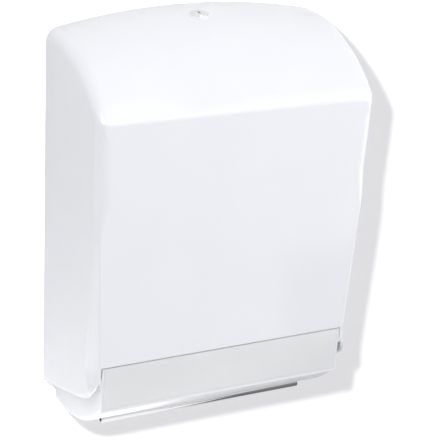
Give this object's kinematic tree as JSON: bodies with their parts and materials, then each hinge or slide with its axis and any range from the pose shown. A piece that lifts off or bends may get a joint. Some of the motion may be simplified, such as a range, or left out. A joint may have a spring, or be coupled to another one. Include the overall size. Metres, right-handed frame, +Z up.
{
  "type": "folded paper towel dispenser",
  "caption": "Wall-mounted lockable dispenser for folded paper towels, with a forward-tilting hood, a sight window and an outlet in its underside.",
  "frame": {"origin": "centre of the wall screw pattern, on the wall face of the back plate", "axes": "+X to the right of someone facing the dispenser, +Y into the wall, +Z up"},
  "size_m": [0.29, 0.1369, 0.415],
  "materials": {
    "hood_plastic": "polished white ABS",
    "body_plastic": "white ABS, slightly softer sheen",
    "inner_plastic": "light grey moulded plastic, fine texture",
    "window_plastic": "smoked translucent light grey",
    "bush_plastic": "natural acetal",
    "lip_steel": "rolled and polished stainless sheet",
    "steel": "zinc-plated steel",
    "chrome": "bright chrome",
    "rubber": "black rubber"
  },
  "bodies": {
    "wall_unit": {"back_plate": "inner_plastic", "towel_guide_right": "inner_plastic", "towel_guide_left": "inner_plastic", "guide_screws": "steel", "lower_body": "body_plastic", "body_screws": "steel", "window_frame": "body_plastic", "sight_window": "window_plastic", "window_clips": "inner_plastic", "outlet_lip": "lip_steel", "lip_rivets": "steel", "lock_keeper": "steel", "keeper_screws": "steel", "hood_buffers": "rubber", "hinge_pin_right": "steel", "hinge_pin_left": "steel"},
    "hood": {"hood": "hood_plastic", "lock_housing": "chrome", "lock_washer": "steel", "lock_nut": "steel", "hinge_bush_right": "bush_plastic", "hinge_bush_left": "bush_plastic"},
    "lock_core": {"lock_plug": "chrome", "lock_cam": "steel", "cam_screw": "steel"}
  },
  "joints": [
    {"name": "hood_hinge", "type": "hinge", "parent": "wall_unit", "child": "hood", "pos_m": [0, -0.118, -0.124], "axis": [1, 0, 0], "range_deg": [0, 100]},
    {"name": "lock_turn", "type": "hinge", "parent": "hood", "child": "lock_core", "pos_m": [0, -0.033, 0.20647], "axis": [0, -0.0872, 0.9962], "range_deg": [0, 90]}
  ]
}
